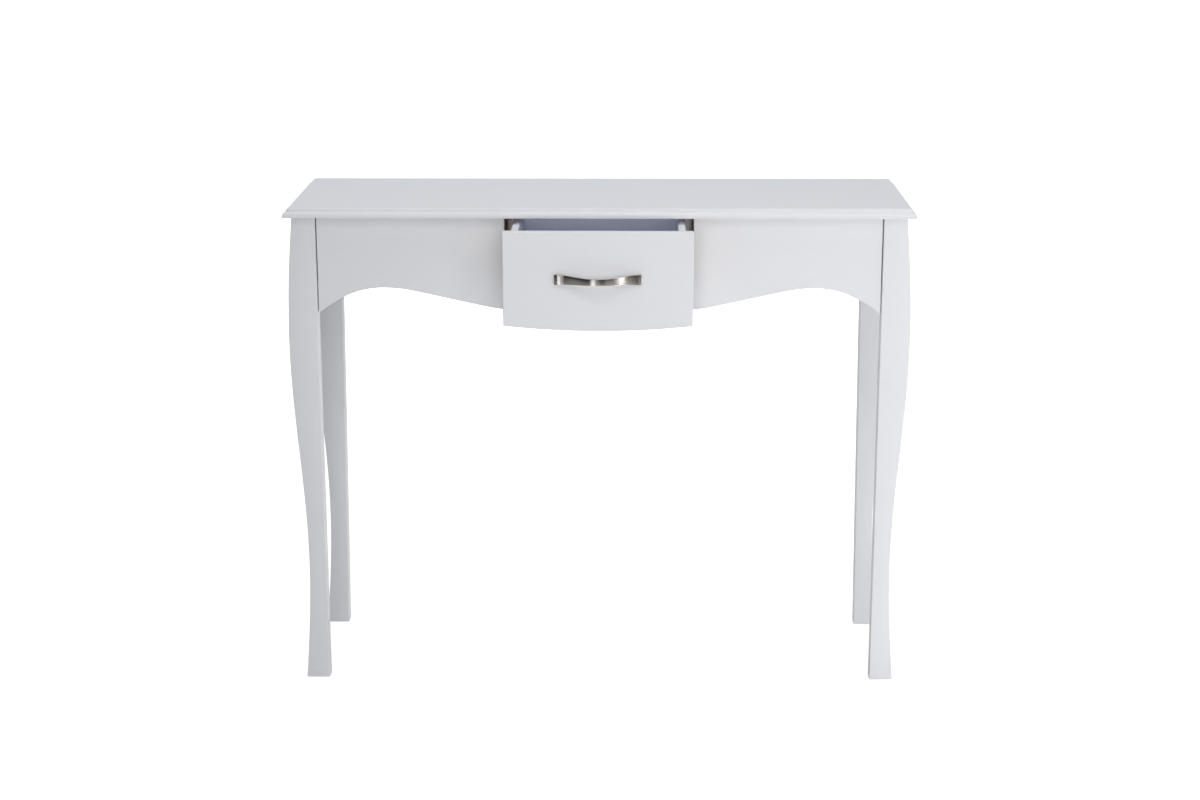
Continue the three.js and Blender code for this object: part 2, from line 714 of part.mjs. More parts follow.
const drawer = new THREE.Group();
drawer.add(piece('drawer_front', drawerFront(), whitePaint));
drawer.add(piece('drawer_back', drawerBack(), drawerFoil));
drawer.add(piece('drawer_bottom', drawerBottom(), hardboard));
drawer.add(piece('drawer_handle', drilledHandle(), brushedNickel));
for (const [sideName, side] of sides) {
  drawer.add(piece(`drawer_side_${sideName}`, drawerSide(side), drawerFoil));
  drawer.add(piece(`drawer_runner_${sideName}`, drawerRunner(side), whiteSteel));
  const rearPin = rollerPin(side, drawerRunnerWebX, rearRollerY);
  drawer.add(piece(`rear_roller_pin_${sideName}`, rearPin, zincSteel));
  drawer.add(piece(`rear_roller_${sideName}`, roller(side, rearRollerY), whiteNylon));
  drawer.add(piece(`handle_screw_${sideName}`, handleScrew(side), zincSteel));
}
drawer.position.y = -drawerPull;

// The desk stands over the origin with its drawer pulled out.
const desk = new THREE.Group();
desk.add(frame, drawer);
const frontmostY = -apronFaceY - drawerPull - handleProjection;
desk.position.y = -(frontmostY + topBackY) / 2;

export default desk;
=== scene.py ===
import math

import bmesh
import bpy
from mathutils import Matrix, Vector


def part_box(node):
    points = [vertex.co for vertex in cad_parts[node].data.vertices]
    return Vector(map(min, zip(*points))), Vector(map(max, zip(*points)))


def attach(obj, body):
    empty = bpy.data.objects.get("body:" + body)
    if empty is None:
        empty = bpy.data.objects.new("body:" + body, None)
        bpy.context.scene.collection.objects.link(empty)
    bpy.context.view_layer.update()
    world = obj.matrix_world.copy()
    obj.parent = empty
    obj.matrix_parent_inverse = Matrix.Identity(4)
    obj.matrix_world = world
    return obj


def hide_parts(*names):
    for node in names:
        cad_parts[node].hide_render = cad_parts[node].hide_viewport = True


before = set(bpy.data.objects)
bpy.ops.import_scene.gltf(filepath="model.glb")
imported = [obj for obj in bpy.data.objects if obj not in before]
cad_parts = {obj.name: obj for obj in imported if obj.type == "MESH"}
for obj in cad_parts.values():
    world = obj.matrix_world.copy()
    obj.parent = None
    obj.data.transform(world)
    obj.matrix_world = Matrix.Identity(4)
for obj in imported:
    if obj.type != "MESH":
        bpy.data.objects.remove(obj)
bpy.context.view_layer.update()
scene = bpy.context.scene
scene.view_settings.view_transform = "Standard"

SIDES = (("left", -1), ("right", 1))
ROWS = (("front", -1), ("back", 1))
CORNERS = [(f"{row_name}_{side_name}", row, side) for row_name, row in ROWS for side_name, side in SIDES]


# ======== sizes in metres
# Outer sizes and places come from the frame's boxes. These are the sizes inside them.

# moulding of the top, from its flat edge outwards and down
MOULDING_INSET = 0.0104       # from the outermost line in to the flat top
STEP_DROP = 0.0056
STEP_RADIUS = 0.0026
LEDGE_WIDTH = 0.0012
ROUND_DROP = 0.0060
LEDGE_EASE = 0.0004
TOP_BOTTOM_EASE = 0.0006
TOP_CORNER_RADIUS = 0.0015

# legs
LEG_TOP_WIDTH = 0.037
KNEE_DROP = 0.195
ANKLE_WIDTH = 0.028
ANKLE_HEIGHT = 0.200
FOOT_WIDTH = 0.0383
LEG_EASE = 0.0018
BACK_LEG_LEAN = 0.008         # the back legs' inner edges stand this much further in at the top
FOOT_EASE = 0.0007

# glides: the sole as (share of the radius, height), then the pin that goes up into the leg
GLIDE_SOLE = ((0, 0.0002), (0.55, 0.0002), (0.6, 0), (0.85, 0), (0.96, 0.0003), (1, 0.0008))
GLIDE_PIN_RADIUS = 0.0022
GLIDE_PIN_SHOULDER = 0.012
GLIDE_PIN_TIP = 0.0012

# aprons
APRON_EASE = 0.0012
APRON_CREST_DROP = 0.1151
APRON_OPENING_DROP = 0.1501
CREST_FROM_LEG = 0.105
CREST_ROUND = 0.052
RAMP_SLOPE = 0.22
RAMP_TAIL = 0.035
END_APRON_CREST_DROP = 0.128

# drawer
DRAWER_BOW = 0.0081
DRAWER_FRONT_EASE = 0.0018
SIDE_ROUND = 0.003
GROOVE_DEPTH = 0.006
GROOVE_CLEARANCE = 0.0003
BOARD_EASE = 0.0006
CHEEK_EASE = 0.0003
THIN_BOARD_EASE = 0.0002

# handle
HANDLE_FOOT_WIDTH = 0.0155
HANDLE_FOOT_DEPTH = 0.008
HANDLE_FOOT_HEIGHT = 0.0165
HANDLE_WAIST_HEIGHT = 0.0095
HANDLE_THICKNESS = 0.0055
HANDLE_SWELL = 0.058
HANDLE_FLARE = 1.5
HANDLE_FULLNESS = 1.3
HANDLE_EDGE = 0.0012
HANDLE_CROWN = 0.0009
HANDLE_CROWN_SHARE = 0.9      # of its half height that the crowned face curves over
HANDLE_FOOT_STEP = 0.0006     # from a foot's inner wall to the free bow
HANDLE_END_ROUND = 0.0025
HANDLE_TIP = 0.003
HANDLE_TIP_INSET = 0.0012

# sheet metal, blocks and fixings
RUNNER_SHEET = 0.0012
CLIP_SHEET = 0.0015
SHEET_BEND = 0.0012
SHEET_EASE = 0.0003
BLOCK_CHAMFER = 0.018
BLOCK_EASE = 0.001
SCREW_HEAD_RADIUS = 0.0034
SCREW_HEAD_HEIGHT = 0.0011
SCREW_SLOT = 0.0008
FLAT_HEAD_HEIGHT = 0.0005
HEAD_EASE_IN, HEAD_EASE_UP = 0.0002, 0.0003
BOLT_RADIUS = 0.003
BOLT_HEAD = 0.004
BOLT_TIP = (0.75, 0.0008)     # (share of the shank's radius, taper)
BOLT_RIM = ((0, 0.0008), (0.0003, 0.0002), (0.0009, 0))     # (inset, depth)
PIN_RADIUS = 0.0025
RIVET_HEAD = 0.0008
RIVET_RIM = ((0.0002, 0.0001), (0.0006, 0))
RIVET_DIMPLE = ((0.0014, 0), (0.0011, 0.0004), (0, 0.0005))     # (radius, depth)
PAN_SHANK = 0.002
PAN_HEAD = 0.0024
PAN_TIP = (0.8, 0.0004)
PAN_CROWN = ((1, 0.0010), (0.94, 0.0016), (0.80, 0.0021), (0.60, PAN_HEAD))   # (share of the rim, height)

# rollers: (radius, depth) from the bore across the recess, and (inset, depth) over the rim
ROLLER_RECESS = ((0.0026, 0), (0.0042, 0), (0.0045, 0.0005), (0.0064, 0.0005), (0.0067, 0))
ROLLER_RIM = ((0.0006, 0), (0.0002, 0.0002), (0, 0.0006))

# where wood screws sit: shares of a block's height, a runner's length and the drawer's half width
BLOCK_SCREW_SHARES = (0.2, 0.8)
CHANNEL_SCREW_SHARES = (0.2, 0.55, 0.9)
TRACK_SCREW_SHARES = (0.12, 0.5, 0.88)
BOTTOM_SCREW_SHARES = (-0.8, 0, 0.8)
BLOCK_SCREW_INSET = 0.0075    # from the apron
CLIP_SCREW_SHIFT = 0.002      # from the middle of a clip's leg


# ======== camera

CAMERA_PLACE = (0.0454, -3.4388, 1.3729)
CAMERA_TURN = (14.70, -0.986, -0.083)      # degrees downwards, to the right and clockwise
CAMERA_SENSOR, CAMERA_LENS = 36, 64.66     # millimetres
CAMERA_SHIFT = (0.00728, -0.00459)


def placed(name, data):
    """A new object in the scene."""
    made = bpy.data.objects.new(name, data)
    scene.collection.objects.link(made)
    return made


def place_camera():
    """Stands in front of the desk, a little right of its middle, and looks slightly down."""
    pitch, yaw, roll = (math.radians(angle) for angle in CAMERA_TURN)
    forward = Vector((math.sin(yaw) * math.cos(pitch), math.cos(yaw) * math.cos(pitch), -math.sin(pitch)))
    level = Vector((math.cos(yaw), -math.sin(yaw), 0))
    upward = level.cross(forward)
    right = level * math.cos(roll) + upward * math.sin(roll)
    up = upward * math.cos(roll) - level * math.sin(roll)
    lens = bpy.data.cameras.new("onlooker")
    lens.sensor_width, lens.lens = CAMERA_SENSOR, CAMERA_LENS
    lens.shift_x, lens.shift_y = CAMERA_SHIFT
    scene.camera = placed("onlooker", lens)
    turn = Matrix((right, up, -forward)).transposed().to_4x4()
    scene.camera.matrix_world = Matrix.Translation(CAMERA_PLACE) @ turn


# ======== node helpers

def join(tree, value, slot):
    """Links a socket to a slot, or sets the slot to a plain value."""
    if isinstance(value, bpy.types.NodeSocket):
        tree.links.new(value, slot)
    else:
        slot.default_value = value


def put(tree, kind, inputs=None, **settings):
    """Adds a node with its settings, and sets or joins its inputs by name or number."""
    node = tree.nodes.new(kind)
    for key, value in settings.items():
        setattr(node, key, value)
    for key, value in (inputs or {}).items():
        join(tree, value, node.inputs[key])
    return node


def after(kind, inputs, **settings):
    """Adds a node to the tree that its inputs come from."""
    tree = next(value.id_data for value in inputs.values() if isinstance(value, bpy.types.NodeSocket))
    return put(tree, kind, inputs, **settings)


def result(kind, inputs, **settings):
    """The first output of a node that comes after its inputs."""
    return after(kind, inputs, **settings).outputs[0]


def reckon(operation, *values):
    """The result of a Math node on sockets and numbers."""
    return result("ShaderNodeMath", dict(enumerate(values)), operation=operation)


def spread(value, low, high, to_low, to_high):
    """Maps a value from one range to another, held within it."""
    steps = {"Value": value, "From Min": low, "From Max": high, "To Min": to_low, "To Max": to_high}
    return result("ShaderNodeMapRange", steps)


def noise(place, scale, detail):
    """The value of a noise texture."""
    return result("ShaderNodeTexNoise", {"Vector": place, "Scale": scale, "Detail": detail})


def apart(vector):
    """The X, Y and Z of a vector."""
    return after("ShaderNodeSeparateXYZ", {0: vector}).outputs


def blend(share, first, second):
    """Mixes two colours by a share, through the Mix node's sockets for colours."""
    ends = [value if isinstance(value, bpy.types.NodeSocket) else (*value, 1) for value in (first, second)]
    return after("ShaderNodeMix", {"Factor": share, 6: ends[0], 7: ends[1]}, data_type="RGBA").outputs[2]


def new_group(kind, name, inputs, outputs):
    """An empty node group with named sockets, given as (name, type, value), and its two ends."""
    group = bpy.data.node_groups.new(name, kind)
    for title, socket, value in inputs:
        made = group.interface.new_socket(title, in_out="INPUT", socket_type=f"NodeSocket{socket}")
        if value is not None:
            made.default_value = value
    for title, socket in outputs:
        group.interface.new_socket(title, in_out="OUTPUT", socket_type=f"NodeSocket{socket}")
    entry = group.nodes.new("NodeGroupInput").outputs
    leave = group.nodes.new("NodeGroupOutput").inputs
    return group, entry, leave


# ======== finishes

def handling_group():
    """Slow cloudy change of tone and gloss, and fine dust, as on any surface that is wiped by hand."""
    group, entry, leave = new_group(
        "ShaderNodeTree", "handling",
        [("Vector", "Vector", None), ("Cloud Size", "Float", 0.2), ("Tone Change", "Float", 0.02),
         ("Gloss", "Float", 0.4), ("Gloss Change", "Float", 0.05)],
        [("Tone", "Float"), ("Roughness", "Float")])
    scale = reckon("DIVIDE", 1, entry["Cloud Size"])
    cloud = noise(entry["Vector"], scale, 3.0)
    fine = noise(entry["Vector"], reckon("MULTIPLY", scale, 60), 2.0)
    swing = reckon("SUBTRACT", reckon("MULTIPLY_ADD", fine, 0.3, cloud), 0.65)
    group.links.new(reckon("MULTIPLY_ADD", swing, entry["Tone Change"], 1), leave["Tone"])
    group.links.new(reckon("MULTIPLY_ADD", swing, entry["Gloss Change"], entry["Gloss"]),
                    leave["Roughness"])
    return group


def grain_group():
    """Fine streaks that run along local X: wood under paint, or a brush's marks in metal."""
    group, entry, leave = new_group(
        "ShaderNodeTree", "grain",
        [("Vector", "Vector", None), ("Streak Width", "Float", 0.002), ("Streak Length", "Float", 0.08),
         ("Sharpness", "Float", 0.3)],
        [("Streaks", "Float")])
    across = reckon("DIVIDE", 1, entry["Streak Width"])
    along = reckon("DIVIDE", 1, entry["Streak Length"])
    stretch = result("ShaderNodeCombineXYZ", {"X": along, "Y": across, "Z": across})
    place = result("ShaderNodeVectorMath", {0: entry["Vector"], 1: stretch}, operation="MULTIPLY")
    pattern = result("ShaderNodeTexNoise", {"Vector": place, "Scale": 1.0, "Detail": 4.0, "Roughness": 0.55})
    low = reckon("MULTIPLY", entry["Sharpness"], 0.5)
    high = reckon("SUBTRACT", 1, low)
    group.links.new(spread(pattern, low, high, 0, 1), leave["Streaks"])
    return group


HANDLING = handling_group()
GRAIN = grain_group()
TURNS = {"x": (0, 0, 0), "y": (0, 0, math.pi / 2), "z": (0, math.pi / 2, 0)}


class Finish:
    """A material and its slot: its tree, its shader, and its pattern's place."""

    def __init__(self, name, grain="x", slot=None):
        self.slot = slot or name
        self.material = bpy.data.materials.new(name)
        self.material.use_nodes = True
        self.tree = self.material.node_tree
        self.shader = self.tree.nodes["Principled BSDF"]
        place = put(self.tree, "ShaderNodeTexCoord").outputs["Object"]
        self.place = result("ShaderNodeMapping", {"Vector": place, "Rotation": TURNS[grain]})

    def set(self, **values):
        for key, value in values.items():
            join(self.tree, value, self.shader.inputs[key.replace("_", " ")])

    def noise(self, scale, detail):
        return noise(self.place, scale, detail)

    def handling(self, cloud, tone, gloss, gloss_change):
        """Tone and roughness of the shared handling group."""
        values = {"Vector": self.place, "Cloud Size": cloud, "Tone Change": tone, "Gloss": gloss,
                  "Gloss Change": gloss_change}
        node = put(self.tree, "ShaderNodeGroup", values, node_tree=HANDLING)
        self.set(Roughness=node.outputs["Roughness"])
        return node.outputs["Tone"]

    def streaks(self, width, length, sharpness):
        values = {"Vector": self.place, "Streak Width": width, "Streak Length": length,
                  "Sharpness": sharpness}
        return put(self.tree, "ShaderNodeGroup", values, node_tree=GRAIN).outputs["Streaks"]

    def shade(self, colour, tone):
        """Base colour, darker or lighter by the tone."""
        self.set(Base_Color=result("ShaderNodeVectorMath", {0: colour, 1: tone}, operation="MULTIPLY"))

    def relief(self, height, depth):
        self.set(Normal=result("ShaderNodeBump", {"Height": height, "Distance": depth, "Strength": 1.0}))


def white_paint(grain):
    """Satin white lacquer over board: a fine roller stipple, and the faint grain that shows through."""
    paint = Finish(f"white_paint_{grain}", grain, "white_paint")
    tone = paint.handling(0.16, 0.035, 0.46, 0.10)
    streaks = paint.streaks(0.0022, 0.10, 0.5)
    both = reckon("MULTIPLY_ADD", streaks, 0.9, paint.noise(900.0, 1.0))
    tint = reckon("MULTIPLY_ADD", streaks, 0.014, tone)
    paint.shade((0.793, 0.797, 0.824), reckon("SUBTRACT", tint, 0.007))
    paint.relief(both, 0.00003)
    return paint


def facing(tree):
    """How far a face looks along X, Y and Z, from -1 to 1."""
    return apart(put(tree, "ShaderNodeNewGeometry").outputs["Normal"])


def drawer_foil():
    """Pale paper foil inside the drawer, with painted light: faces that look up are a neutral lit white, the
    other faces a bluish painted shade; bare board outside.
    """
    foil = Finish("drawer_foil", "y")
    tone = foil.handling(0.1, 0.05, 0.5, 0.1)
    fleck = foil.noise(1400.0, 2.0)
    flecks = spread(fleck, 0.3, 0.7, 0, 1)
    looks = facing(foil.tree)
    sideways = apart(put(foil.tree, "ShaderNodeTexCoord").outputs["Object"])["X"]
    outwards = reckon("MULTIPLY", sideways, looks["X"])
    outside = spread(outwards, 0.04, 0.08, 0, 1)
    # painted light: up-facing top edges get a neutral lit white, all other foil faces a bluish painted shade
    painted_lit_share = spread(looks["Z"], 0.3, 0.8, 0, 1)
    inside = blend(painted_lit_share, (0.805, 0.83, 0.96), (0.80, 0.805, 0.82))
    board_colour = blend(flecks, (0.36, 0.29, 0.22), (0.50, 0.42, 0.33))
    foil.shade(blend(outside, inside, board_colour), tone)
    foil.relief(fleck, 0.00002)
    return foil


def drawer_base():
    """Thin hardboard: coated pale above, raw brown fibre underneath."""
    base = Finish("drawer_base", "x")
    tone = base.handling(0.08, 0.06, 0.55, 0.12)
    fibre = base.noise(700.0, 6.0)
    raw = blend(spread(fibre, 0.35, 0.65, 0, 1), (0.17, 0.085, 0.038), (0.30, 0.165, 0.08))
    under = reckon("LESS_THAN", facing(base.tree)["Z"], -0.5)
    base.shade(blend(under, (0.66, 0.69, 0.76), raw), tone)
    base.relief(fibre, 0.00005)
    return base


def pine(name, grain, early, late):
    """Bare pine: soft early wood with darker late-wood lines along its length."""
    wood = Finish(name, grain, "pine")
    tone = wood.handling(0.05, 0.10, 0.62, 0.1)
    warp = after("ShaderNodeTexNoise", {"Vector": wood.place, "Scale": 9.0, "Detail": 2.0}).outputs["Color"]
    shifted = result("ShaderNodeVectorMath", {0: warp, 1: (0.010, 0.014, 0.014), 2: wood.place},
                     operation="MULTIPLY_ADD")
    rings = after("ShaderNodeTexWave", {"Vector": shifted, "Scale": 55.0, "Distortion": 1.5, "Detail": 2.0},
                  bands_direction="Y", wave_profile="SAW")
    lines = spread(rings.outputs["Fac"], 0.45, 1.0, 0, 1)
    share = reckon("MULTIPLY_ADD", wood.streaks(0.0007, 0.03, 0.7), 0.35, reckon("MULTIPLY", lines, 0.65))
    wood.shade(blend(share, early, late), tone)
    wood.relief(share, 0.0001)
    return wood


def bright_metal(name, colour, gloss, grain, streak, depth):
    """Plated or brushed metal, with fine drawn streaks that break up its shine."""
    metal = Finish(name, grain)
    tone = metal.handling(0.03, 0.12, gloss, 0.18)
    streaks = metal.streaks(streak, streak * 40, 0.4)
    base_tone = reckon("SUBTRACT", tone, 0.05)
    metal.shade(colour, reckon("MULTIPLY_ADD", streaks, 0.10, base_tone))
    metal.set(Metallic=1.0)
    metal.relief(streaks, depth)
    return metal


def dimpled(name, colour, gloss, cloud=0.01, dimples=(1800.0, 2.0), depth=0.00002, grain="x"):
    """Moulded plastic or a powder coat, faintly uneven."""
    skin = Finish(name, grain)
    skin.shade(colour, skin.handling(cloud, 0.05, gloss, 0.1))
    skin.relief(skin.noise(*dimples), depth)
    return skin


PAINT = {axis: white_paint(axis) for axis in "xyz"}
FOIL = drawer_foil()
BASE = drawer_base()
BLOCK_PINE = pine("block_pine", "z", (0.74, 0.56, 0.34), (0.50, 0.31, 0.14))
GUIDE_PINE = pine("guide_pine", "y", (0.50, 0.43, 0.38), (0.38, 0.30, 0.26))
ZINC = bright_metal("zinc_steel", (0.66, 0.68, 0.70), 0.34, "x", 0.0005, 0.00002)
NICKEL = bright_metal("brushed_nickel", (0.60, 0.55, 0.52), 0.17, "x", 0.0003, 0.00001)
STEEL = dimpled("white_steel", (0.76, 0.76, 0.745), 0.38, 0.03, (1500.0, 1.0), 0.00004, "y")
NYLON = dimpled("nylon", (0.80, 0.79, 0.75), 0.42)
GLIDE = dimpled("glide_plastic", (0.66, 0.64, 0.60), 0.5)


# ======== making pieces

SHARP_ANGLE = math.radians(50)     # faces that meet more sharply than this have an edge between them
LATHE_SIDES = 48


def piece(name, mesh, finish, body, nodes=(), ease=0.0):
    """Puts a finished mesh into the scene: its material, smooth faces, eased edges and body, and hides the
    nodes it stands in for.
    """
    made = placed(name, mesh)
    mesh.materials.clear()
    mesh.materials.append(finish.material)
    mesh.shade_smooth()
    mesh.set_sharp_from_angle(angle=SHARP_ANGLE)
    if ease:
        bevel = made.modifiers.new("eased edges", "BEVEL")
        bevel.width = ease
        bevel.segments = 3
        bevel.limit_method = "ANGLE"
        bevel.angle_limit = SHARP_ANGLE
        bevel.harden_normals = True
    else:
        weighted = made.modifiers.new("even shading", "WEIGHTED_NORMAL")
        weighted.keep_sharp = True
    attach(made, body)
    if nodes:
        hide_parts(*nodes)


def mesh_from(name, shape):
    """A mesh from a bmesh, its faces pointing out."""
    bmesh.ops.recalc_face_normals(shape, faces=shape.faces)
    mesh = bpy.data.meshes.new(name)
    shape.to_mesh(mesh)
    shape.free()
    return mesh


def loft(name, rings):
    """A skin over rings of equal point counts, capped at its two ends."""
    shape = bmesh.new()
    skins = [[shape.verts.new(point) for point in ring] for ring in rings]
    for lower, upper in zip(skins, skins[1:]):
        for i in range(len(lower)):
            shape.faces.new((lower[i - 1], lower[i], upper[i], upper[i - 1]))
    shape.faces.new(skins[0])
    shape.faces.new(skins[-1])
    return mesh_from(name, shape)


def board_piece(node, name, outline, axis, finish, body, ease):
    """A prism in place of a node: an outline across the axis, drawn through the node's box along it."""
    low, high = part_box(node)
    i = "XYZ".index(axis)
    rings = [[(*point[:i], end, *point[i:]) for point in outline] for end in (low[i], high[i])]
    piece(name, loft(name, rings), finish, body, [node], ease)


def plain_board(node, name, axis, *looks):
    """A board piece that fills its node's box."""
    low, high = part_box(node)
    u, v = (i for i in range(3) if i != "XYZ".index(axis))
    board_piece(node, name, rectangle(low[u], high[u], low[v], high[v]), axis, *looks)


def reached(low, high, sign):
    """The end of a range on the sign's side, then the other end."""
    return (high, low) if sign > 0 else (low, high)


def quarter(steps, start=0.0):
    """Angles in equal steps over a quarter turn, both ends among them."""
    return [start + math.pi / 2 * i / steps for i in range(steps + 1)]


def rectangle(low_u, high_u, low_v, high_v):
    return [(low_u, low_v), (high_u, low_v), (high_u, high_v), (low_u, high_v)]


def bent(first, control, last, *, steps=12):
    """Points of a quadratic curve, without its first."""
    points = []
    for i in range(1, steps + 1):
        t = i / steps
        points.append(tuple(
            (1 - t) ** 2 * a + 2 * t * (1 - t) * b + t ** 2 * c for a, b, c in zip(first, control, last)))
    return points


def six_flats(angle):
    """Reach of a hexagon whose corners touch the circle."""
    return math.cos(math.pi / 6) / math.cos(angle % (math.pi / 3) - math.pi / 6)


def cross_way(angle):
    """Reach of a cross recess: four arms, with short corners between them."""
    off_arm = abs((angle + math.pi / 4) % (math.pi / 2) - math.pi / 4)
    return 1.0 if off_arm < math.radians(16) else 0.4


def turned(node, name, profile, way, finish, body):
    """A lathe piece in place of a node, from (radius, distance along its way[, shape]), closed at its
    axis or on itself; it starts at the end of the node's box that its way comes from."""
    hollow = profile[0] == profile[-1]
    shape = bmesh.new()
    rings = []
    for radius, along, *reach in profile[:-1] if hollow else profile:
        ring = []
        for i in range(LATHE_SIDES if radius else 1):
            angle = math.tau * i / LATHE_SIDES
            distance = radius * (reach[0](angle) if reach else 1)
            ring.append(shape.verts.new((distance * math.cos(angle), distance * math.sin(angle), along)))
        rings.append(ring)
    for lower, upper in zip(rings, rings[1:] + (rings[:1] if hollow else [])):
        for i in range(LATHE_SIDES):
            if len(lower) == 1:
                corners = (lower[0], upper[i], upper[i - 1])
            elif len(upper) == 1:
                corners = (lower[i - 1], lower[i], upper[0])
            else:
                corners = (lower[i - 1], lower[i], upper[i], upper[i - 1])
            shape.faces.new(corners)
    low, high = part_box(node)
    start = [(a + b - part * (b - a)) / 2 for a, b, part in zip(low, high, way)]
    turn = Vector((0, 0, 1)).rotation_difference(Vector(way)).to_matrix().to_4x4()
    bmesh.ops.transform(shape, matrix=Matrix.Translation(start) @ turn, verts=shape.verts)
    piece(name, mesh_from(name, shape), finish, body, [node])


def under_head(shank, start, rim):
    """Profile where a shank meets its head's flat underside and eased rim."""
    return [(shank, start), (rim - HEAD_EASE_IN, start), (rim, start + HEAD_EASE_UP)]


def over_rim(radius, steps):
    """Profile steps (radius, depth) over a rim, from steps of (inset, depth)."""
    return [(radius - inset, depth) for inset, depth in steps]


def sunk(face, steps):
    """Profile points under a face, from steps of (radius, depth[, shape])."""
    return [(radius, face - depth, *way) for radius, depth, *way in steps]


def rounded(outline, radii):
    """The outline with its corners rounded, each by its own radius."""
    made = []
    for i, (corner, radius) in enumerate(zip(outline, radii)):
        if not radius:
            made.append(corner)
            continue
        here, last, coming = Vector(corner), Vector(outline[i - 1]), Vector(outline[(i + 1) % len(outline)])
        start = tuple(here + (last - here).normalized() * radius)
        end = tuple(here + (coming - here).normalized() * radius)
        made += [start] + bent(start, corner, end, steps=5)
    return made


# ======== Geometry Nodes

def grown(name, tree, values, source=None):
    """The plain mesh that a tree makes with these input values."""
    holder = placed(name, source or bpy.data.meshes.new(name))
    modifier = holder.modifiers.new("grow", "NODES")
    modifier.node_group = tree
    for item in tree.interface.items_tree:
        if item.in_out == "INPUT" and item.name in values:
            modifier[item.identifier] = values[item.name]
    evaluated = holder.evaluated_get(bpy.context.evaluated_depsgraph_get())
    mesh = bpy.data.meshes.new_from_object(evaluated)
    bpy.data.objects.remove(holder)
    return mesh


def in_material(tree, geometry, material, leave):
    """Ends a tree: real geometry, in its material."""
    whole = result("GeometryNodeRealizeInstances", {"Geometry": geometry})
    painted = result("GeometryNodeSetMaterial", {"Geometry": whole, "Material": material})
    tree.links.new(painted, leave["Geometry"])


def waved_leg_tree():
    """A board leg with rounded arrises: waved on its outer edge, and straight on its inner edge, which
    starts at x = 0 at the foot and leans in towards the top."""
    sizes = ["Foot Level", "Top Level", "Knee Drop", "Ankle Height", "Top Width", "Knee Width",
             "Ankle Width", "Foot Width", "Thickness", "Ease", "Inner Lean"]
    tree, size, leave = new_group(
        "GeometryNodeTree", "waved leg",
        [(title, "Float", None) for title in sizes] + [("Material", "Material", None)],
        [("Geometry", "Geometry")])

    ends = {end: result("ShaderNodeCombineXYZ", {"Z": size[level]})
            for end, level in (("Start", "Foot Level"), ("End", "Top Level"))}
    spine = result("GeometryNodeCurvePrimitiveLine", ends)
    spine = result("GeometryNodeResampleCurve", {"Curve": spine, "Count": 130})
    square = result("GeometryNodeCurvePrimitiveQuadrilateral",
                    {"Width": size["Thickness"], "Height": size["Thickness"]})
    section = result("GeometryNodeFilletCurve", {"Curve": square, "Count": 4, "Radius": size["Ease"]},
                     mode="POLY")
    bar = result("GeometryNodeCurveToMesh", {"Curve": spine, "Profile Curve": section, "Fill Caps": True})

    place = apart(put(tree, "GeometryNodeInputPosition").outputs[0])
    knee = reckon("SUBTRACT", size["Top Level"], size["Knee Drop"])

    def wave(low, high, from_width, to_width, turn):
        """Change of width as a part of a cosine wave between two heights."""
        share = spread(place["Z"], low, high, 0, 1)
        rise = reckon("SUBTRACT", 1, reckon("COSINE", reckon("MULTIPLY", share, turn)))
        change = reckon("SUBTRACT", to_width, from_width)
        return reckon("MULTIPLY", rise, reckon("DIVIDE", change, 1 - math.cos(turn)))

    width = size["Knee Width"]
    for stretch in ((knee, size["Top Level"], size["Knee Width"], size["Top Width"], math.pi / 2),
                    (knee, size["Ankle Height"], size["Knee Width"], size["Ankle Width"], math.pi),
                    (size["Ankle Height"], size["Foot Level"], size["Ankle Width"], size["Foot Width"],
                     math.pi / 2)):
        width = reckon("ADD", width, wave(*stretch))
    outer = reckon("GREATER_THAN", place["X"], 0)
    rise = spread(place["Z"], size["Foot Level"], size["Top Level"], 0, 1)
    lean = reckon("MULTIPLY", size["Inner Lean"], rise)
    inner = reckon("SUBTRACT", reckon("MULTIPLY", size["Thickness"], 0.5),
                   reckon("MULTIPLY", lean, reckon("SUBTRACT", 1, outer)))
    shift = reckon("MULTIPLY_ADD", outer, reckon("SUBTRACT", width, size["Thickness"]), inner)
    offset = result("ShaderNodeCombineXYZ", {"X": shift})
    shaped = result("GeometryNodeSetPosition", {"Geometry": bar, "Offset": offset})
    in_material(tree, shaped, size["Material"], leave)
    return tree


